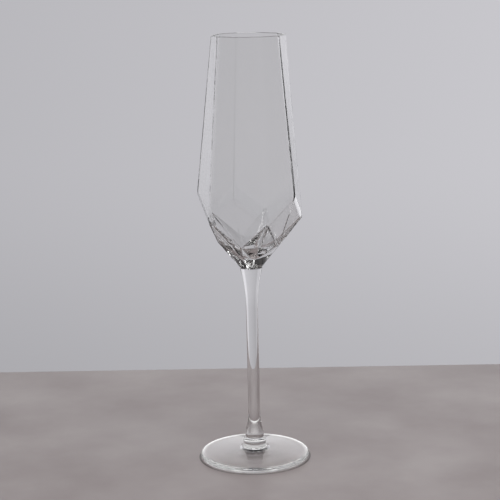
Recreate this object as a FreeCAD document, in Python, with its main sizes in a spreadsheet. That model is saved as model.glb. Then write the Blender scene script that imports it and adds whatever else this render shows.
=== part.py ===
"""Champagne flute: a faceted bowl, a drawn stem and a round foot, three glass pieces.

Frame: millimetres, +Z up, origin at the centre of the ring that the foot rests on.
The bowl repeats five times round +Z. Its high corners point at 36, 108, 180, 252 and 324
degrees from +X, its low corners at 0, 72, 144, 216 and 288 degrees. Between them stand ten
tall panels. Under each high corner hangs a kite of two facets that ends in an elbow corner,
and under each low corner a triangle that flows on down to the round seat of the stem.
"""
import FreeCAD
import Part
import os
import re
import Sketcher

SIZES = {
    # bowl, outer skin: radii of its corners and their heights
    "total_height": 250.0,
    "rim_radius": 21.4,
    "high_radius": 31.2,
    "high_level": 160.0,
    "low_radius": 29.8,
    "low_level": 145.0,
    "elbow_radius": 19.4,
    "elbow_level": 130.0,
    # bowl, glass thickness measured level at each ring of corners
    "rim_wall": 1.3,
    "high_wall": 1.7,
    "low_wall": 1.8,
    "elbow_wall": 2.9,
    # how far each ring of inner corners sits above the outer one
    "high_rise": 0.3,
    "low_rise": 0.7,
    "elbow_rise": 1.6,
    # round bottom of the drinking well, and the fire-polished lip
    "well_radius": 4.2,
    "well_level": 121.5,
    "well_rounding": 2.5,
    "lip_rounding": 0.5,
    # stem, from its fused joint with the bowl down to its fused joint with the foot
    "head_level": 115.5,
    "head_radius": 6.6,
    "flare_level": 90.0,
    "shank_radius": 3.5,
    "spread_level": 28.0,
    "heel_radius": 5.45,
    "heel_level": 12.0,
    # foot
    "collar_radius": 6.8,
    "collar_level": 9.4,
    "sweep_radius": 11.5,
    "sweep_level": 5.4,
    "foot_radius": 32.4,
    "edge_thickness": 3.2,
    "ring_inner_radius": 27.5,
    "arch_height": 1.6,
}

REPEATS = 5
SKIRT_DROP = "6"            # the untrimmed shapes reach this far below their finished bottom
FACET_MARGIN = "0.3"        # clearance between a facet and the cone that rounds its corners
CUT_RADIUS = "60"           # outer limit of the trimming profiles, well clear of the glass
CUT_WIDTH = 120.0

OUTER_SKIN = {
    "rim": "rim_radius",
    "high": "high_radius",
    "high_z": "high_level",
    "low": "low_radius",
    "low_z": "low_level",
    "elbow": "elbow_radius",
    "elbow_z": "elbow_level",
    "seat": "head_radius",
    "seat_z": "head_level",
}

INNER_SKIN = {
    "rim": "(rim_radius - rim_wall)",
    "high": "(high_radius - high_wall)",
    "high_z": "(high_level + high_rise)",
    "low": "(low_radius - low_wall)",
    "low_z": "(low_level + low_rise)",
    "elbow": "(elbow_radius - elbow_wall)",
    "elbow_z": "(elbow_level + elbow_rise)",
    "seat": "well_radius",
    "seat_z": "well_level",
}

doc = FreeCAD.newDocument("champagne_flute")


def make_sheet():
    """The driving dimensions, one named cell each."""
    sheet = doc.addObject("Spreadsheet::Sheet", "Sizes")
    for row, (alias, number) in enumerate(SIZES.items(), start=1):
        sheet.set(f"A{row}", alias)
        sheet.set(f"B{row}", str(number))
        sheet.setAlias(f"B{row}", alias)
    doc.recompute()


def bound(formula):
    """The formula with the sheet's name put before each of its aliases."""
    return re.sub(r"[a-z_]+", lambda word: f"Sizes.{word[0]}" if word[0] in SIZES else word[0], formula)


def add_sketch(body, name, role, height=None, turn=None):
    """A sketch on one of the body's origin planes, raised along Z or turned about Z."""
    plane = next(item for item in body.Origin.OriginFeatures if item.Role == role)
    sketch = body.newObject("Sketcher::SketchObject", name)
    sketch.AttachmentSupport = [(plane, "")]
    sketch.MapMode = "FlatFace"
    if height is not None:
        sketch.setExpression("AttachmentOffset.Base.z", bound(height))
    if turn is not None:
        # an upright plane's own y axis is the Z axis of the glass
        sketch.AttachmentOffset = FreeCAD.Placement(
            FreeCAD.Vector(0, 0, 0), FreeCAD.Rotation(FreeCAD.Vector(0, 1, 0), 1))
        sketch.setExpression("AttachmentOffset.Rotation.Angle", bound(turn))
    doc.recompute()
    return sketch


def minor_arc(start, end, radius, side):
    """The short arc from start to end, its centre to the left (side 1) or the right (side -1)."""
    chord = end - start
    left = FreeCAD.Vector(-chord.y, chord.x, 0).normalize()
    centre = (start + end) * 0.5 + left * (side * (radius ** 2 - (chord.Length / 2) ** 2) ** 0.5)
    circle = Part.Circle(centre, FreeCAD.Vector(0, 0, 1), radius)
    first, last = (start, end) if side > 0 else (end, start)
    return Part.ArcOfCircle(circle, circle.parameter(first), circle.parameter(last))


def draw_outline(sketch, steps):
    """Draw a closed outline whose every size stays bound to the sheet.

    Each step is the formulas (x, y) of the corner where a straight side ends, or
    (x, y, radius, side) where an arc ends.
    """
    values = [[float(sketch.evalExpression(bound(text))) for text in step[:3]] for step in steps]
    corners = [FreeCAD.Vector(value[0], value[1], 0) for value in values]
    forward = [len(step) == 2 or step[3] > 0 for step in steps]
    for index, step in enumerate(steps):
        start = corners[index - 1]
        end = corners[index]
        if len(step) == 2:
            sketch.addGeometry(Part.LineSegment(start, end))
        else:
            sketch.addGeometry(minor_arc(start, end, values[index][2], step[3]))
    for index, step in enumerate(steps):
        following = (index + 1) % len(steps)
        end_point = 2 if forward[index] else 1
        start_point = 1 if forward[following] else 2
        join = Sketcher.Constraint("Coincident", index, end_point, following, start_point)
        sketch.addConstraint(join)
        for kind, text, value, axis in zip(("DistanceX", "DistanceY"), step, values[index], (-2, -1)):
            if text == "0":
                sketch.addConstraint(Sketcher.Constraint("PointOnObject", index, end_point, axis))
            else:
                place = sketch.addConstraint(
                    Sketcher.Constraint(kind, -1, 1, index, end_point, value))
                sketch.setExpression(f"Constraints[{place}]", bound(text))
        if len(step) == 4:
            place = sketch.addConstraint(Sketcher.Constraint("Radius", index, values[index][2]))
            sketch.setExpression(f"Constraints[{place}]", bound(step[2]))
    doc.recompute()


def ten_corners(low_formula, high_formula):
    """Outline of a ten-sided ring whose corners alternate between two radii."""
    steps = []
    for index in range(2 * REPEATS):
        radius = high_formula if index % 2 else low_formula
        angle = f"{index * 180 // REPEATS} deg"
        across = f"{radius} * cos({angle})"
        along = "0" if index == 0 else f"{radius} * sin({angle})"
        steps.append((across, along))
    return steps


def repeat_round(body, feature):
    """Repeat a cut five times round Z."""
    pattern = body.newObject("PartDesign::PolarPattern", f"{feature.Name}_repeat")
    upright = next(item for item in body.Origin.OriginFeatures if item.Role == "Z_Axis")
    pattern.Originals = [feature]
    pattern.Axis = (upright, [""])
    pattern.Angle = 360
    pattern.Occurrences = REPEATS
    body.Tip = pattern
    doc.recompute()


def cut_facets(body, name, turn, steps):
    """Trim the body outside a profile drawn in an upright plane, at all five places."""
    volume = body.Shape.Volume
    sketch = add_sketch(body, f"{name}_profile", "XZ_Plane", turn=turn)
    draw_outline(sketch, steps)
    cut = body.newObject("PartDesign::Pocket", name)
    cut.Profile = sketch
    cut.Midplane = True
    cut.Length = CUT_WIDTH
    doc.recompute()
    repeat_round(body, cut)
    if body.Shape.Volume >= volume:
        raise RuntimeError(f"{name} cuts nothing")


def faceted_solid(name, skin):
    """The closed solid inside one skin of the bowl, from the rim down to its round bottom."""
    body = doc.addObject("PartDesign::Body", name)
    rim, high, low, elbow, seat = (skin[key] for key in ("rim", "high", "low", "elbow", "seat"))
    high_z, low_z, elbow_z, seat_z = (skin[key + "_z"] for key in ("high", "low", "elbow", "seat"))
    skirt_z = f"({seat_z} - {SKIRT_DROP})"
    elbow_flat = f"({elbow} * cos(36 deg))"

    # the ten panels: straight creases run from the even rim through the high and low corners
    top = add_sketch(body, f"{name}_rim", "XY_Plane", height="total_height")
    draw_outline(top, ten_corners(rim, rim))
    skirt = add_sketch(body, f"{name}_skirt", "XY_Plane", height=skirt_z)
    reach = f"(total_height - {skirt_z})"
    high_skirt = f"({rim} + ({high} - {rim}) * {reach} / (total_height - {high_z}))"
    low_skirt = f"({rim} + ({low} - {rim}) * {reach} / (total_height - {low_z}))"
    draw_outline(skirt, ten_corners(low_skirt, high_skirt))
    panels = body.newObject("PartDesign::AdditiveLoft", f"{name}_panels")
    panels.Profile = top
    panels.Sections = [skirt]
    panels.Ruled = True
    doc.recompute()

    # the kites: each half is the plane through a high, a low and an elbow corner
    kite_slope = f"(({high} - {elbow}) / ({high_z} - {elbow_z}))"
    level_ratio = f"(({high} - ({high_z} - {low_z}) * {kite_slope}) / {low})"
    lean = f"atan(({level_ratio} - cos(36 deg)) / sin(36 deg))"
    above = (f"(2 * {high} - {elbow}) * cos({lean})", f"2 * {high_z} - {elbow_z}")
    below = (f"({elbow} - {kite_slope} * ({elbow_z} - {skirt_z})) * cos({lean})", skirt_z)
    kite_profile = [above, below, (CUT_RADIUS, below[1]), (CUT_RADIUS, above[1])]
    cut_facets(body, f"{name}_kite_left", f"36 deg + {lean}", kite_profile)
    cut_facets(body, f"{name}_kite_right", f"36 deg - {lean}", kite_profile)

    # the triangles under the low corners, and the tapering facets from there to the seat
    above = (f"2 * {low} - {elbow_flat}", f"2 * {low_z} - {elbow_z}")
    lower_profile = [
        above,
        (elbow_flat, elbow_z),
        (f"{seat} + {FACET_MARGIN}", seat_z),
        ("0", seat_z),
        ("0", skirt_z),
        (CUT_RADIUS, skirt_z),
        (CUT_RADIUS, above[1]),
    ]
    cut_facets(body, f"{name}_underside", "0 deg", lower_profile)

    # a cone rounds the five lower edges more and more towards the seat
    margin_elbow = f"({elbow} + {FACET_MARGIN})"
    above = (f"2 * {margin_elbow} - {seat}", f"2 * {elbow_z} - {seat_z}")
    cone_sketch = add_sketch(body, f"{name}_cone_profile", "XZ_Plane")
    cone_profile = [above, (seat, seat_z), (seat, skirt_z), (CUT_RADIUS, skirt_z), (CUT_RADIUS, above[1])]
    draw_outline(cone_sketch, cone_profile)
    volume = body.Shape.Volume
    cone = body.newObject("PartDesign::Groove", f"{name}_cone")
    cone.Profile = cone_sketch
    cone.ReferenceAxis = (cone_sketch, ["V_Axis"])
    cone.Angle = 360
    doc.recompute()
    if body.Shape.Volume >= volume:
        raise RuntimeError(f"{name} is not rounded towards its seat")
    return body


def round_edges(body, name, formula, wanted):
    """Fillet the edges of the body's tip that the test function picks."""
    base = body.Tip
    edges = [f"Edge{i}" for i, edge in enumerate(base.Shape.Edges, start=1) if wanted(edge)]
    fillet = body.newObject("PartDesign::Fillet", name)
    fillet.Base = (base, edges)
    fillet.setExpression("Radius", bound(formula))
    doc.recompute()


def make_bowl():
    """The outer skin less the drinking well, with a rounded lip."""
    bowl = faceted_solid("bowl", OUTER_SKIN)
    well = faceted_solid("well", INNER_SKIN)
    well_level = SIZES["well_level"]
    round_edges(well, "well_bottom", "well_rounding",
                lambda edge: abs(edge.BoundBox.ZMax - well_level) < 0.01)
    hollow = bowl.newObject("PartDesign::Boolean", "bowl_hollow")
    hollow.Type = "Cut"
    hollow.setObjects([well])
    bowl.Tip = hollow
    doc.recompute()
    rim_level = SIZES["total_height"]
    round_edges(bowl, "lip", "lip_rounding",
                lambda edge: edge.BoundBox.ZMin > rim_level - 0.01)
    return bowl


def revolved(name, steps):
    """A round glass piece turned from its half outline about Z."""
    body = doc.addObject("PartDesign::Body", name)
    sketch = add_sketch(body, f"{name}_profile", "XZ_Plane")
    draw_outline(sketch, steps)
    turned = body.newObject("PartDesign::Revolution", f"{name}_turned")
    turned.Profile = sketch
    turned.ReferenceAxis = (sketch, ["V_Axis"])
    turned.Angle = 360
    doc.recompute()
    return body


def make_stem():
    """A slim round stem: two matching arcs form the heel, one long arc flares to the bowl."""
    heel_out = "(heel_radius - shank_radius)"
    heel_up = "(spread_level - heel_level)"
    heel_arc = f"({heel_out} ^ 2 + {heel_up} ^ 2) / (4 * {heel_out})"
    head_out = "(head_radius - shank_radius)"
    head_up = "(head_level - flare_level)"
    head_arc = f"({head_out} ^ 2 + {head_up} ^ 2) / (2 * {head_out})"
    return revolved("stem", [
        ("0", "heel_level"),
        ("heel_radius", "heel_level"),
        ("(heel_radius + shank_radius) / 2", "(heel_level + spread_level) / 2", heel_arc, 1),
        ("shank_radius", "spread_level", heel_arc, -1),
        ("shank_radius", "flare_level"),
        ("head_radius", "head_level", head_arc, -1),
        ("0", "head_level"),
    ])


def make_foot():
    """A thin disc with a round edge, a hollowed underside and a collar that meets the stem."""
    edge_radius = "(edge_thickness / 2)"
    edge_centre = f"(foot_radius - {edge_radius})"
    sweep_run = "(sweep_radius - collar_radius)"
    sweep_fall = "(collar_level - sweep_level)"
    collar_in = "(collar_radius - heel_radius)"
    collar_up = "(heel_level - collar_level)"
    collar_arc = f"({collar_in} ^ 2 + {collar_up} ^ 2) / (2 * {collar_in})"
    sweep_arc = f"({sweep_run} ^ 2 + {sweep_fall} ^ 2) / (2 * {sweep_fall})"
    arch_arc = "(ring_inner_radius ^ 2 + arch_height ^ 2) / (2 * arch_height)"
    return revolved("foot", [
        ("0", "arch_height"),
        ("ring_inner_radius", "0", arch_arc, -1),
        (edge_centre, "0"),
        ("foot_radius", edge_radius, edge_radius, 1),
        (edge_centre, "edge_thickness", edge_radius, 1),
        ("sweep_radius", "sweep_level"),
        ("collar_radius", "collar_level", sweep_arc, -1),
        ("heel_radius", "heel_level", collar_arc, 1),
        ("0", "heel_level"),
    ])


def check(pieces):
    """Stop unless every object is in order and every piece is one valid solid."""
    for item in doc.Objects:
        if "Invalid" in item.State or "Error" in item.State:
            raise RuntimeError(f"{item.Name}: {item.State}")
    for piece in pieces:
        shape = piece.Shape
        if shape.isNull() or not shape.isValid() or len(shape.Solids) != 1:
            raise RuntimeError(f"{piece.Label} is not one valid solid")


make_sheet()
pieces = [make_bowl(), make_stem(), make_foot()]
doc.recompute()
check(pieces)

os.makedirs("parts", exist_ok=True)
for piece in pieces:
    piece.Shape.exportStep(f"parts/{piece.Label}.step")
    print(f"{piece.Label}: {piece.Shape.Volume:.0f} mm3")
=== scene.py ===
import bmesh
import bpy
import math
from mathutils import Matrix, Vector


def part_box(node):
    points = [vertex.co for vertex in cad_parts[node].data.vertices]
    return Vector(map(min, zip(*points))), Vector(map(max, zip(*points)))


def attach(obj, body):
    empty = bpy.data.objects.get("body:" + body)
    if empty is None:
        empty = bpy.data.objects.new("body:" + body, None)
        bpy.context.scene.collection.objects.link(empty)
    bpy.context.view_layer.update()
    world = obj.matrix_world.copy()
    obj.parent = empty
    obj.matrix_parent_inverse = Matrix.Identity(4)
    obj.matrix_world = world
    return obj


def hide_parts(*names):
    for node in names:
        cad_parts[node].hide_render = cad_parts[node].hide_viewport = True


# A clear champagne flute with a faceted bowl. Lengths are metres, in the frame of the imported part:
# +Z up, the foot's resting ring at z = 0, a low corner of the bowl towards +X.

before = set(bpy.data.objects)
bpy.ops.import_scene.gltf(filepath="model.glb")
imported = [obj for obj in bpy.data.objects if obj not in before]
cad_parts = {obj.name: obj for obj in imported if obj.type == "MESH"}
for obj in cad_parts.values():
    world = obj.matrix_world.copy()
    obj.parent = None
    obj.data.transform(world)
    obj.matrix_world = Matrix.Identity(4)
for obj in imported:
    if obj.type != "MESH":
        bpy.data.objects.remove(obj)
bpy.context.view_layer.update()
MM = 0.001

bowl_min, bowl_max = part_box("bowl")
stem_min, stem_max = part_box("stem")
foot_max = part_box("foot")[1]

RIM_Z = bowl_max.z
SEAT_Z = bowl_min.z             # fused joint of bowl and stem
HEEL_Z = stem_min.z             # fused joint of stem and foot
HIGH_RADIUS = -bowl_min.x       # the bowl's high corners point to -X and its four turns
LOW_RADIUS = bowl_max.x
SEAT_RADIUS = stem_max.x
FOOT_RADIUS = foot_max.x

# Bowl: tall panels from the rim to a zigzag of high and low corners, then kites and triangles
# down to a ring of elbows, then a solid taper to the stem.
RIM_RADIUS = 21.4 * MM
HIGH_Z = 160.0 * MM
LOW_Z = 145.0 * MM
ELBOW_RADIUS = 19.4 * MM
ELBOW_Z = 130.0 * MM

# Inner skin: parallel to the outer one, then a rounded floor over the solid bottom.
WALL = 1.3 * MM
FLOOR_Z = 123.2 * MM            # tip of the floor
FLOOR_POWER = 0.85              # below 1 the floor steepens towards its tip
TIP_ROUND = 0.3                 # rounding of the tip, as a share of the floor's reach
FLOOR_ROWS = 20

CORNERS = 10
CORNER_STEP = 2 * math.pi / CORNERS
ACROSS = 4                      # mesh columns per panel
PANEL_ROWS = 8
TAPER_ROWS = 14
LIP_ROWS = 10
V_STEPS = 12
CREASE_SEGMENTS = 8
LOWER = 1                       # marks the outer faces that have solid glass behind them
SAME_LEVEL = 1e-6               # two heights closer than this count as one

# How far each kind of crease is rounded into its facets.
HIGH_CREASE = 1.9 * MM          # panel edges that end at a high corner
LOW_CREASE = 3.3 * MM           # panel edges that end at a low corner
ZIGZAG_CREASE = 4.0 * MM        # along the widest part
KITE_CREASE = 0.15 * MM         # down the middle of each kite
V_CREASE = 0.3 * MM             # from an elbow up to a low corner
ELBOW_CREASE = 0.5 * MM         # round the ring of elbows
TAPER_CREASE = 1.0 * MM
WIDEST_CREASE = 4.0 * MM

# Stem: a straight shank between two flares.
SHANK_RADIUS = 3.5 * MM
HEEL_RADIUS = 5.45 * MM
SPREAD_Z = 28.0 * MM            # the lower flare ends here
FLARE_Z = 90.0 * MM             # the upper flare starts here
STEM_DRIFT = -0.5 * MM          # the hand-set stem stands this far off centre at its head
STEM_SEGMENTS = 96
HEEL_STEPS = 10
SHANK_STEPS = 24
HEAD_STEPS = 24

# Foot: outline points as (radius, height).
COLLAR = (6.8 * MM, 9.4 * MM)
SWEEP = (9.8 * MM, 5.6 * MM)
EDGE_RADIUS = 1.6 * MM
RING_INNER = 27.5 * MM          # inside this radius the underside is hollowed
ARCH_HEIGHT = 1.6 * MM
FOOT_SEGMENTS = 128
ARCH_STEPS = 24
EDGE_STEPS = 6
DISC_STEPS = 14
SWEEP_STEPS = 12
COLLAR_STEPS = 8

GLASS_IOR = 1.51
TINT_DEEP = (0.990, 0.991, 0.990, 1)
TINT_FAINT = (0.998, 0.998, 0.996, 1)
SHADE_FACING = (0.97, 0.97, 0.97, 1)
SHADE_GRAZING = (0.80, 0.80, 0.81, 1)


def polar(radius, angle, height):
    return Vector((radius * math.cos(angle), radius * math.sin(angle), height))


def smoothstep(value):
    value = min(1.0, max(0.0, value))
    return value * value * (3 - 2 * value)


def drift(height):
    """Sideways offset of the glass's centre line at a height."""
    if height > SEAT_Z:
        return STEM_DRIFT * (1 - smoothstep((height - SEAT_Z) / (ELBOW_Z - SEAT_Z)))
    return STEM_DRIFT * smoothstep((height - HEEL_Z) / (SEAT_Z - HEEL_Z))


# ---- outer skin of the bowl ----

def panel_rings(bm):
    """Rings of vertices from just under the rim down to the zigzag of high and low corners."""
    rings = []
    top_z = RIM_Z - WALL / 2
    tops = [polar(RIM_RADIUS, CORNER_STEP * k, top_z) for k in range(CORNERS)]
    lows = []
    for k in range(CORNERS):
        radius, height = (HIGH_RADIUS, HIGH_Z) if k % 2 else (LOW_RADIUS, LOW_Z)
        lows.append(polar(radius, CORNER_STEP * k, height))
    for row in range(PANEL_ROWS + 1):
        share = row / PANEL_ROWS
        posts = [tops[k].lerp(lows[k], share) for k in range(CORNERS)]
        ring = []
        for k in range(CORNERS):
            following = posts[(k + 1) % CORNERS]
            ring += [bm.verts.new(posts[k].lerp(following, i / ACROSS)) for i in range(ACROSS)]
        rings.append(ring)
    return rings


def join_rings(bm, upper, lower):
    """Quads between two closed rings that have the same number of vertices."""
    faces = []
    count = len(upper)
    for i in range(count):
        j = (i + 1) % count
        faces.append(bm.faces.new((upper[i], lower[i], lower[j], upper[j])))
    return faces


def lower_facets(bm, zigzag):
    """Kites and triangles under the zigzag, then the taper. Returns the V edges and taper rings."""
    columns = len(zigzag)
    elbow_ring = []
    elbows = [polar(ELBOW_RADIUS, CORNER_STEP * k, ELBOW_Z) for k in range(1, CORNERS, 2)]
    steps = 2 * ACROSS
    for k, elbow in enumerate(elbows):
        following = elbows[(k + 1) % len(elbows)]
        elbow_ring += [bm.verts.new(elbow.lerp(following, i / steps)) for i in range(steps)]

    def edge_line(start, end):
        middle = [bm.verts.new(start.co.lerp(end.co, i / V_STEPS)) for i in range(1, V_STEPS)]
        return [start] + middle + [end]

    v_lines = []
    for k in range(len(elbows)):
        high = (2 * k + 1) * ACROSS
        elbow = elbow_ring[2 * ACROSS * k]
        v_lines.append(edge_line(elbow, zigzag[(high + ACROSS) % columns]))
        v_lines.append(edge_line(elbow, zigzag[(high - ACROSS) % columns]))
    for k in range(len(elbows)):
        high = (2 * k + 1) * ACROSS
        rising = v_lines[2 * k]
        falling = v_lines[(2 * k + 3) % len(v_lines)]
        right = [zigzag[(high + i) % columns] for i in range(ACROSS)]
        left = [zigzag[(high - i) % columns] for i in range(ACROSS)]
        bm.faces.new(rising + right[::-1])
        bm.faces.new(left + v_lines[2 * k + 1][::-1])
        bottom = [elbow_ring[(2 * ACROSS * k + i) % columns] for i in range(2 * ACROSS + 1)]
        triangle = bm.faces.new(rising[::-1][:-1] + bottom + falling[1:-1])
        triangle.material_index = LOWER
    rings = [elbow_ring]
    for row in range(1, TAPER_ROWS + 1):
        share = row / TAPER_ROWS
        ring = []
        for i in range(columns):
            seat = polar(SEAT_RADIUS, CORNER_STEP * (1 + i / ACROSS), SEAT_Z)
            point = elbow_ring[i].co.lerp(seat, share)
            point.x += drift(point.z)
            ring.append(bm.verts.new(point))
        for face in join_rings(bm, rings[-1], ring):
            face.material_index = LOWER
        rings.append(ring)
    return v_lines, rings


def mark_creases(bm, panels, v_lines, taper):
    """Give every edge between two facets its rounding, as a share of the widest one."""
    weights = bm.edges.layers.float.new("bevel_weight_edge")
    columns = len(panels[0])

    def mark(a, b, width):
        edge = bm.edges.get((a, b))
        if edge is not None:
            edge[weights] = width / WIDEST_CREASE

    for upper, lower in zip(panels, panels[1:]):
        for k in range(CORNERS):
            mark(upper[k * ACROSS], lower[k * ACROSS], HIGH_CREASE if k % 2 else LOW_CREASE)
    zigzag = panels[-1]
    elbow_ring = taper[0]
    for i in range(columns):
        mark(zigzag[i], zigzag[(i + 1) % columns], ZIGZAG_CREASE)
        mark(elbow_ring[i], elbow_ring[(i + 1) % columns], ELBOW_CREASE)
    for k in range(CORNERS // 2):
        elbow = elbow_ring[2 * ACROSS * k]
        high = (2 * k + 1) * ACROSS
        mark(elbow, zigzag[high % columns], KITE_CREASE)
        for upper, lower in zip(taper, taper[1:]):
            mark(upper[2 * ACROSS * k], lower[2 * ACROSS * k], TAPER_CREASE)
    for line in v_lines:
        for start, end in zip(line, line[1:]):
            mark(start, end, V_CREASE)


def round_creases(bm):
    """Bevel the marked edges, each by its own width. Returns a new bmesh and frees the old one."""
    mesh = bpy.data.meshes.new("outer_skin")
    bm.to_mesh(mesh)
    bm.free()
    blank = bpy.data.objects.new("outer_skin", mesh)
    bpy.context.scene.collection.objects.link(blank)
    bevel = blank.modifiers.new("creases", "BEVEL")
    bevel.limit_method = "WEIGHT"
    bevel.offset_type = "OFFSET"
    bevel.width = WIDEST_CREASE
    bevel.segments = CREASE_SEGMENTS
    bevel.use_clamp_overlap = True
    rounded = bmesh.new()
    rounded.from_object(blank, bpy.context.evaluated_depsgraph_get())
    bpy.data.objects.remove(blank)
    bpy.data.meshes.remove(mesh)
    return rounded


# ---- inner skin of the bowl ----

def facet_normal(vert):
    """Normal of the facet a vertex belongs to: wide faces outweigh the thin crease strips."""
    total = Vector((0, 0, 0))
    for face in vert.link_faces:
        total += face.normal * face.calc_area() ** 2
    return total.normalized()


def floor_rise(inward):
    """How far up the well floor is, from 0 at its rounded tip to 1 at its brink."""
    def swell(share):
        return math.hypot(share, TIP_ROUND) ** FLOOR_POWER
    return (swell(inward) - swell(0)) / (swell(1) - swell(0))


def add_inner_skin(bm):
    """Copy the outer skin inwards down to the V edges, then close it with a rounded floor.

    The mesh is closed, but its inside crosses itself in thin folds: the copy near the elbows and
    the corners, where crisp creases meet, and the floor where it leaves the copy along the brink.
    Returns the inner vertex of each outer one.
    """
    bm.normal_update()
    upper = [face for face in bm.faces if face.material_index != LOWER]
    inner = {}
    for face in upper:
        for vert in face.verts:
            if vert not in inner:
                inner[vert] = bm.verts.new(vert.co - facet_normal(vert) * WALL)
    hem = []
    for vert in inner:
        if any(face.material_index == LOWER for face in vert.link_faces):
            hem.append(vert)
    hem.sort(key=lambda vert: math.atan2(vert.co.y, vert.co.x))
    # Each brink vertex takes its outer vertex's angle, so the brink runs round without turning back.
    for vert in hem:
        below = inner[vert]
        reach = math.hypot(below.co.x, below.co.y)
        below.co = polar(reach, math.atan2(vert.co.y, vert.co.x), below.co.z)
    for face in upper:
        bm.faces.new([inner[vert] for vert in reversed(face.verts)])
    brink = [inner[vert] for vert in hem]
    above = brink
    for row in range(1, FLOOR_ROWS):
        inward = 1 - row / FLOOR_ROWS
        ring = []
        for vert in brink:
            height = FLOOR_Z + (vert.co.z - FLOOR_Z) * floor_rise(inward)
            ring.append(bm.verts.new((vert.co.x * inward, vert.co.y * inward, height)))
        for face in join_rings(bm, above, ring):
            face.smooth = True
        above = ring
    bottom = bm.verts.new((0, 0, FLOOR_Z))
    for i, vert in enumerate(above):
        fan = bm.faces.new((vert, bottom, above[(i + 1) % len(above)]))
        fan.smooth = True
    return inner


def loop_at(bm, test):
    """The vertices that pass a test, in order of angle round the axis."""
    found = [vert for vert in bm.verts if test(vert)]
    return sorted(found, key=lambda vert: math.atan2(vert.co.y, vert.co.x - drift(vert.co.z)))


def at_level(height, level):
    return abs(height - level) < SAME_LEVEL


def finish_mesh(bm, name, joint_levels):
    """Turn a bmesh into an object and give its flat fused joints the joint material."""
    bmesh.ops.recalc_face_normals(bm, faces=bm.faces)
    for face in bm.faces:
        flat = any(all(at_level(vert.co.z, level) for vert in face.verts) for level in joint_levels)
        face.material_index = 1 if flat else 0
        if flat:
            face.smooth = False
    mesh = bpy.data.meshes.new(name)
    bm.to_mesh(mesh)
    bm.free()
    piece = bpy.data.objects.new(name, mesh)
    bpy.context.scene.collection.objects.link(piece)
    return piece


def make_bowl():
    """Outer skin, inner skin with the floor, the joint disc, and a half-round lip between the skins."""
    bm = bmesh.new()
    panels = panel_rings(bm)
    for upper, lower in zip(panels, panels[1:]):
        join_rings(bm, upper, lower)
    v_lines, taper = lower_facets(bm, panels[-1])
    mark_creases(bm, panels, v_lines, taper)
    bm = round_creases(bm)
    inner = add_inner_skin(bm)
    top_z = RIM_Z - WALL / 2
    seat_loop = loop_at(bm, lambda vert: at_level(vert.co.z, SEAT_Z))
    bm.faces.new(seat_loop)
    outer_loop = loop_at(bm, lambda vert: vert in inner and at_level(vert.co.z, top_z))
    above = outer_loop
    for row in range(1, LIP_ROWS + 1):
        turn = math.pi * row / LIP_ROWS
        ring = []
        for vert in outer_loop:
            if row == LIP_ROWS:
                ring.append(inner[vert])
                continue
            place = vert.co.lerp(inner[vert].co, (1 - math.cos(turn)) / 2)
            place.z += WALL / 2 * math.sin(turn)
            ring.append(bm.verts.new(place))
        join_rings(bm, above, ring)
        above = ring
    return finish_mesh(bm, "faceted_bowl", [SEAT_Z])


# ---- stem and foot, turned about the axis ----

def arc_points(start, end, radius, side, count):
    """Points after start along the short arc to end; its centre is left (1) or right (-1)."""
    start = Vector(start)
    end = Vector(end)
    chord = end - start
    left = Vector((-chord.y, chord.x)).normalized()
    centre = (start + end) / 2 + left * side * math.sqrt(radius ** 2 - (chord.length / 2) ** 2)
    first = start - centre
    turn = first.angle_signed(end - centre)
    points = []
    for i in range(1, count + 1):
        points.append(centre + Matrix.Rotation(-turn * i / count, 2) @ first)
    return points


def line_points(start, end, count):
    """Points after start along the straight line to end."""
    return [Vector(start).lerp(Vector(end), i / count) for i in range(1, count + 1)]


def lathe(name, outline, segments, joint_levels):
    """A closed round solid from a half outline that starts and ends on the axis."""
    bm = bmesh.new()
    above = None
    for radius, height in outline[1:-1]:
        ring = []
        for i in range(segments):
            point = polar(radius, 2 * math.pi * i / segments, height)
            point.x += drift(height)
            ring.append(bm.verts.new(point))
        if above is not None:
            join_rings(bm, above, ring)
        else:
            first_ring = ring
        above = ring
    for ring, place in ((first_ring, outline[0]), (above, outline[-1])):
        if any(at_level(place[1], level) for level in joint_levels):
            bm.faces.new(ring)
            continue
        centre = bm.verts.new((0, 0, place[1]))
        for i, vert in enumerate(ring):
            bm.faces.new((vert, centre, ring[(i + 1) % segments]))
    for face in bm.faces:
        face.smooth = True
    return finish_mesh(bm, name, joint_levels)


def make_stem():
    """A straight shank with an S-shaped flare at the foot and a simple one under the bowl."""
    heel_out = HEEL_RADIUS - SHANK_RADIUS
    heel_up = SPREAD_Z - HEEL_Z
    heel_arc = (heel_out ** 2 + heel_up ** 2) / (4 * heel_out)
    head_out = SEAT_RADIUS - SHANK_RADIUS
    head_up = SEAT_Z - FLARE_Z
    head_arc = (head_out ** 2 + head_up ** 2) / (2 * head_out)
    heel = (HEEL_RADIUS, HEEL_Z)
    heel_mid = ((HEEL_RADIUS + SHANK_RADIUS) / 2, (HEEL_Z + SPREAD_Z) / 2)
    shank_low = (SHANK_RADIUS, SPREAD_Z)
    shank_high = (SHANK_RADIUS, FLARE_Z)
    head = (SEAT_RADIUS, SEAT_Z)
    outline = [(0, HEEL_Z), heel]
    outline += arc_points(heel, heel_mid, heel_arc, 1, HEEL_STEPS)
    outline += arc_points(heel_mid, shank_low, heel_arc, -1, HEEL_STEPS)
    outline += line_points(shank_low, shank_high, SHANK_STEPS)
    outline += arc_points(shank_high, head, head_arc, -1, HEAD_STEPS)
    outline += [(0, SEAT_Z)]
    return lathe("drawn_stem", outline, STEM_SEGMENTS, [HEEL_Z, SEAT_Z])


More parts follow.
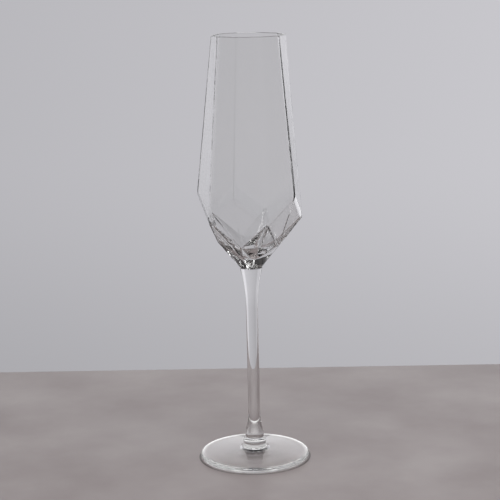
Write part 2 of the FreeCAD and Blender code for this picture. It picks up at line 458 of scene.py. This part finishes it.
def make_foot():
    """A flat disc with a round edge, a hollowed underside and a swept-up collar."""
    edge_centre = FOOT_RADIUS - EDGE_RADIUS
    collar_in = COLLAR[0] - HEEL_RADIUS
    collar_up = HEEL_Z - COLLAR[1]
    collar_arc = (collar_in ** 2 + collar_up ** 2) / (2 * collar_in)
    sweep_run = SWEEP[0] - COLLAR[0]
    sweep_fall = COLLAR[1] - SWEEP[1]
    sweep_arc = (sweep_run ** 2 + sweep_fall ** 2) / (2 * sweep_fall)
    arch_arc = (RING_INNER ** 2 + ARCH_HEIGHT ** 2) / (2 * ARCH_HEIGHT)
    disc_edge = (edge_centre, 2 * EDGE_RADIUS)
    outline = [(0, ARCH_HEIGHT)]
    outline += arc_points(outline[0], (RING_INNER, 0), arch_arc, -1, ARCH_STEPS)
    outline += [Vector((edge_centre, 0))]
    outline += arc_points(outline[-1], (FOOT_RADIUS, EDGE_RADIUS), EDGE_RADIUS, 1, EDGE_STEPS)
    outline += arc_points(outline[-1], disc_edge, EDGE_RADIUS, 1, EDGE_STEPS)
    outline += line_points(disc_edge, SWEEP, DISC_STEPS)
    outline += arc_points(SWEEP, COLLAR, sweep_arc, -1, SWEEP_STEPS)
    outline += arc_points(COLLAR, (HEEL_RADIUS, HEEL_Z), collar_arc, 1, COLLAR_STEPS)
    outline += [(0, HEEL_Z)]
    return lathe("disc_foot", outline, FOOT_SEGMENTS, [HEEL_Z])


# ---- materials ----

class Nodes:
    """Shorthand for building a node tree.

    Inputs are given by socket name, or as i0, i1 ... by socket number where names repeat.
    """

    def __init__(self, name):
        self.material = bpy.data.materials.new(name)
        self.material.use_nodes = True
        self.tree = self.material.node_tree
        self.tree.nodes.clear()

    def add(self, kind, settings=None, **inputs):
        node = self.tree.nodes.new(kind)
        for key, value in (settings or {}).items():
            setattr(node, key, value)
        for key, value in inputs.items():
            numbered = key[0] == "i" and key[1:].isdigit()
            socket = node.inputs[int(key[1:]) if numbered else key]
            if isinstance(value, bpy.types.NodeSocket):
                self.tree.links.new(value, socket)
            else:
                socket.default_value = value
        return node.outputs


def clear_glass():
    """Clear glass with a breath of grey, faint waves and a few tiny seeds.

    Shadow and diffuse rays cross it straight, darkened at grazing angles.
    """
    n = Nodes("clear_glass")
    place = n.add("ShaderNodeTexCoord")["Object"]
    waves = n.add("ShaderNodeTexNoise", Vector=place, Scale=55.0, Detail=1.0, Roughness=0.4)[0]
    wave_bump = n.add("ShaderNodeBump", Strength=0.06, Distance=0.0006, Height=waves)[0]
    cells = n.add("ShaderNodeTexVoronoi", Vector=place, Scale=70.0, Randomness=1.0)["Distance"]
    seeds = n.add("ShaderNodeMapRange", Value=cells, i1=0.0, i2=0.035, i3=1.0, i4=0.0)[0]
    normal = n.add("ShaderNodeBump", Strength=0.35, Distance=0.0003, Height=seeds,
                   Normal=wave_bump)[0]
    tint_noise = n.add("ShaderNodeTexNoise", Vector=place, Scale=18.0, Detail=2.0)[0]
    tint = n.add("ShaderNodeMix", {"data_type": "RGBA"}, i0=tint_noise,
                 i6=TINT_DEEP, i7=TINT_FAINT)[2]
    glass = n.add("ShaderNodeBsdfGlass", Color=tint, Roughness=0.0, IOR=GLASS_IOR, Normal=normal)[0]
    facing = n.add("ShaderNodeLayerWeight", Blend=0.35)["Facing"]
    shade = n.add("ShaderNodeMix", {"data_type": "RGBA"}, i0=facing,
                  i6=SHADE_FACING, i7=SHADE_GRAZING)[2]
    see_through = n.add("ShaderNodeBsdfTransparent", Color=shade)[0]
    light_path = n.add("ShaderNodeLightPath")
    indirect = n.add("ShaderNodeMath", {"operation": "MAXIMUM"}, i0=light_path["Is Shadow Ray"],
                     i1=light_path["Is Diffuse Ray"])[0]
    surface = n.add("ShaderNodeMixShader", i0=indirect, i1=glass, i2=see_through)[0]
    n.add("ShaderNodeOutputMaterial", Surface=surface)
    return n.material


def fused_joint():
    """The joint faces inside fused glass, which light crosses unchanged."""
    n = Nodes("fused_joint")
    surface = n.add("ShaderNodeBsdfTransparent", Color=(1, 1, 1, 1))[0]
    n.add("ShaderNodeOutputMaterial", Surface=surface)
    return n.material


# ---- studio ----

WALL_Y = 1.2
WALL_BOTTOM = -2.0
WALL_TOP = 3.0
STAGE_SIDE = 3.0                # table and wall reach this far to each side
TABLE_FRONT_Y = -3.0
TABLE_BACK_Y = 0.185
TABLE_Z = -0.05 * MM            # a hair below the foot, so that the two surfaces stay apart
STONE_DARK = (0.225, 0.187, 0.186, 1)
STONE_PALE = (0.325, 0.286, 0.285, 1)
WALL_GLOW = (0.995, 0.985, 1.04, 1)
LIGHT_TARGET = (0, 0, 0.1)      # all the soft boxes face this point

# The dark line where the foot's edge shades the table.
CONTACT_RADIUS = FOOT_RADIUS + 0.4 * MM
CONTACT_WIDTH = 0.9 * MM
CONTACT_COLOR = (0.05, 0.04, 0.04, 1)

# The light that the foot's edge gathers, seen only through the glass.
GATHER_RADIUS = FOOT_RADIUS + 0.8 * MM
GATHER_WIDTH = 5.0 * MM
GATHER_LIGHT = 0.7
GATHER_COLOR = (0.90, 0.90, 0.90, 1)

LENS = 108.8                    # millimetres, as Blender counts lenses and sensors
SENSOR_WIDTH = 36.0
CAMERA_PLACE = (-0.00099, -0.86026, 0.30634)
CAMERA_PITCH = 11.864           # degrees below the horizon
CAMERA_ROLL = -0.951            # degrees

LIGHT_BOUNCES = 32
GLOSSY_BOUNCES = 16
INDIRECT_CLAMP = 6.0


def stage_plane(name, corners, material):
    """One flat face that belongs to the studio, not to the glass."""
    mesh = bpy.data.meshes.new(name)
    mesh.from_pydata(corners, [], [tuple(range(len(corners)))])
    mesh.materials.append(material)
    plane = bpy.data.objects.new(name, mesh)
    bpy.context.scene.collection.objects.link(plane)


def table_material():
    """Mottled stone, with two rings round the foot that stand in for its shadow and caustics."""
    n = Nodes("pale_table")
    place = n.add("ShaderNodeTexCoord")["Object"]
    mottle = n.add("ShaderNodeTexNoise", Vector=place, Scale=14.0, Detail=5.0)[0]
    patch = n.add("ShaderNodeMapRange", Value=mottle, i1=0.30, i2=0.70, i3=0.0, i4=1.0)[0]
    stone = n.add("ShaderNodeMix", {"data_type": "RGBA"}, i0=patch,
                  i6=STONE_DARK, i7=STONE_PALE)[2]
    smooth = {"interpolation_type": "SMOOTHSTEP"}
    reach = n.add("ShaderNodeVectorMath", {"operation": "LENGTH"}, i0=place)["Value"]
    seen_by = n.add("ShaderNodeLightPath")

    def ring(radius, width, ray):
        """1 on a ring round the foot, 0 beyond its width, for one kind of ray only."""
        beyond = n.add("ShaderNodeMath", {"operation": "SUBTRACT"}, i0=reach, i1=radius)[0]
        apart = n.add("ShaderNodeMath", {"operation": "ABSOLUTE"}, i0=beyond)[0]
        near = n.add("ShaderNodeMapRange", smooth, Value=apart,
                     i1=0.0, i2=width, i3=1.0, i4=0.0)[0]
        return n.add("ShaderNodeMath", {"operation": "MULTIPLY"}, i0=near, i1=seen_by[ray])[0]

    shaded = n.add("ShaderNodeMix", {"data_type": "RGBA"},
                   i0=ring(CONTACT_RADIUS, CONTACT_WIDTH, "Is Camera Ray"),
                   i6=stone, i7=CONTACT_COLOR)[2]
    gathered = ring(GATHER_RADIUS, GATHER_WIDTH, "Is Transmission Ray")
    color = n.add("ShaderNodeMix", {"data_type": "RGBA"}, i0=gathered,
                  i6=shaded, i7=GATHER_COLOR)[2]
    lit = n.add("ShaderNodeMath", {"operation": "MULTIPLY"}, i0=gathered, i1=GATHER_LIGHT)[0]
    surface = n.add("ShaderNodeBsdfPrincipled", **{
        "Base Color": color,
        "Roughness": 0.45,
        "Emission Color": color,
        "Emission Strength": lit,
    })[0]
    n.add("ShaderNodeOutputMaterial", Surface=surface)
    return n.material


def wall_material():
    """A softly lit pale wall: brighter to the right, darker low down, dark above the lit part."""
    n = Nodes("studio_wall")
    place = n.add("ShaderNodeTexCoord")["Object"]
    axes = n.add("ShaderNodeSeparateXYZ", Vector=place)
    smooth = {"interpolation_type": "SMOOTHSTEP"}
    side = n.add("ShaderNodeMapRange", Value=axes["X"], i1=-0.45, i2=0.45, i3=0.475, i4=0.59)[0]
    left = n.add("ShaderNodeMapRange", smooth, Value=axes["X"], i1=-0.5, i2=-0.8, i3=0.0, i4=0.12)[0]
    right = n.add("ShaderNodeMapRange", smooth, Value=axes["X"], i1=0.5, i2=0.85, i3=0.0, i4=0.26)[0]
    ends = n.add("ShaderNodeMath", {"operation": "ADD"}, i0=left, i1=right)[0]
    across = n.add("ShaderNodeMath", {"operation": "ADD"}, i0=side, i1=ends)[0]
    low = n.add("ShaderNodeMapRange", smooth, Value=axes["Z"], i1=-0.40, i2=0.02, i3=0.82, i4=1.0)[0]
    high = n.add("ShaderNodeMapRange", smooth, Value=axes["Z"], i1=0.46, i2=0.80, i3=1.0, i4=0.04)[0]
    upright = n.add("ShaderNodeMath", {"operation": "MULTIPLY"}, i0=low, i1=high)[0]
    strength = n.add("ShaderNodeMath", {"operation": "MULTIPLY"}, i0=across, i1=upright)[0]
    surface = n.add("ShaderNodeEmission", Color=WALL_GLOW, Strength=strength)[0]
    n.add("ShaderNodeOutputMaterial", Surface=surface)
    return n.material


def area_light(name, place, width, height, radiance):
    """A rectangular soft box; its power follows from its size and how bright its face looks."""
    data = bpy.data.lights.new(name, "AREA")
    data.shape = "RECTANGLE"
    data.size = width
    data.size_y = height
    data.energy = radiance * math.pi * width * height
    light = bpy.data.objects.new(name, data)
    light.location = place
    aim = Vector(LIGHT_TARGET) - Vector(place)
    light.rotation_euler = aim.to_track_quat("-Z", "Y").to_euler()
    bpy.context.scene.collection.objects.link(light)
    return light


def make_studio():
    """Table, lit wall and five soft boxes in a dim room."""
    table_corners = [
        (-STAGE_SIDE, TABLE_FRONT_Y, TABLE_Z),
        (STAGE_SIDE, TABLE_FRONT_Y, TABLE_Z),
        (STAGE_SIDE, TABLE_BACK_Y, TABLE_Z),
        (-STAGE_SIDE, TABLE_BACK_Y, TABLE_Z),
    ]
    wall_corners = [
        (-STAGE_SIDE, WALL_Y, WALL_BOTTOM),
        (STAGE_SIDE, WALL_Y, WALL_BOTTOM),
        (STAGE_SIDE, WALL_Y, WALL_TOP),
        (-STAGE_SIDE, WALL_Y, WALL_TOP),
    ]
    stage_plane("table_top", table_corners, table_material())
    stage_plane("backdrop", wall_corners, wall_material())
    top = area_light("top_box", (0.1, -0.35, 1.3), width=1.1, height=0.5, radiance=8.5)
    right = area_light("right_box", (0.85, 0.85, 0.75), width=0.5, height=1.0, radiance=1.6)
    left = area_light("left_box", (-1.1, 0.1, 0.6), width=0.5, height=0.9, radiance=1.0)
    back = area_light("back_box", (0.0, 1.1, 0.45), width=0.9, height=1.1, radiance=0.85)
    strip = area_light("strip_box", (0.95, 1.1, -0.1), width=0.7, height=1.8, radiance=0.8)
    # A light hidden from transmission shows only as a highlight on the glass's first surface.
    top.visible_transmission = False
    for light in (back, strip):
        light.visible_camera = False
        light.visible_transmission = False
        light.visible_diffuse = False
    # The two side boxes light the table and do not show in the glass.
    for light in (right, left):
        light.visible_glossy = False
        light.visible_transmission = False
    bpy.context.scene.world = dim_room()


def dim_room():
    """The unlit part of the studio: dim round the sides, nearly black overhead."""
    world = bpy.data.worlds.new("studio")
    world.use_nodes = True
    tree = world.node_tree
    place = tree.nodes.new("ShaderNodeTexCoord")
    axes = tree.nodes.new("ShaderNodeSeparateXYZ")
    level = tree.nodes.new("ShaderNodeMapRange")
    level.inputs["From Min"].default_value = 0.15
    level.inputs["From Max"].default_value = 0.45
    level.inputs["To Min"].default_value = 0.24
    level.inputs["To Max"].default_value = 0.03
    tree.links.new(place.outputs["Generated"], axes.inputs["Vector"])
    tree.links.new(axes.outputs["Z"], level.inputs["Value"])
    tree.links.new(level.outputs["Result"], tree.nodes["Background"].inputs["Strength"])
    tree.nodes["Background"].inputs["Color"].default_value = (1.0, 0.98, 0.97, 1)
    return world


def make_camera():
    """A long lens from a little above the rim, with the slight tilt of the original view."""
    data = bpy.data.cameras.new("camera")
    data.lens = LENS
    data.sensor_width = SENSOR_WIDTH
    camera = bpy.data.objects.new("camera", data)
    pitch = math.radians(CAMERA_PITCH)
    roll = math.radians(CAMERA_ROLL)
    turn = Matrix.Rotation(math.pi / 2 - pitch, 4, "X") @ Matrix.Rotation(roll, 4, "Z")
    camera.matrix_world = Matrix.Translation(CAMERA_PLACE) @ turn
    bpy.context.scene.collection.objects.link(camera)
    bpy.context.scene.camera = camera


def set_light_paths():
    """Enough bounces for light to cross every glass wall, and plain display colours."""
    scene = bpy.context.scene
    scene.cycles.max_bounces = LIGHT_BOUNCES
    scene.cycles.transmission_bounces = LIGHT_BOUNCES
    scene.cycles.transparent_max_bounces = LIGHT_BOUNCES
    scene.cycles.glossy_bounces = GLOSSY_BOUNCES
    scene.cycles.caustics_reflective = False
    scene.cycles.caustics_refractive = False
    scene.cycles.sample_clamp_indirect = INDIRECT_CLAMP
    scene.view_settings.view_transform = "Standard"
    scene.view_settings.look = "None"


glass = clear_glass()
joint = fused_joint()
for piece, node in ((make_bowl(), "bowl"), (make_stem(), "stem"), (make_foot(), "foot")):
    piece.data.materials.append(glass)
    piece.data.materials.append(joint)
    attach(piece, "root")
    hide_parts(node)

make_studio()
make_camera()
set_light_paths()
